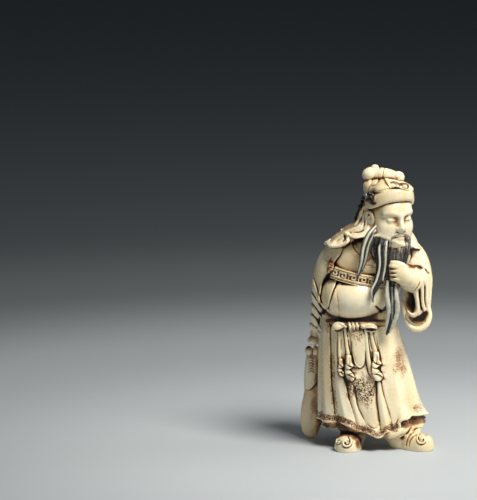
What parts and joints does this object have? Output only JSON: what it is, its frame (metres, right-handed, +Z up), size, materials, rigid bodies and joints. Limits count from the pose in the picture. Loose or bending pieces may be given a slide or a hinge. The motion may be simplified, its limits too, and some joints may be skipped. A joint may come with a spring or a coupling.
{
  "type": "figure netsuke",
  "caption": "Tall standing netsuke of a bearded general in a long robe, one hand at the beard, the other holding a halberd blade down, with cord holes in the back.",
  "frame": {"origin": "on the surface it stands on, under the middle of the whole carving's box", "axes": "+Z up from the shoe soles to the cap's knob; the belly and toes face -Y; +X is the figure's left side, where the hand holds the beard"},
  "size_m": [0.0466, 0.0304, 0.0991],
  "materials": {
    "ivory": "satin"
  },
  "bodies": {
    "root": {"carved_figure": "ivory"}
  },
  "joints": []
}
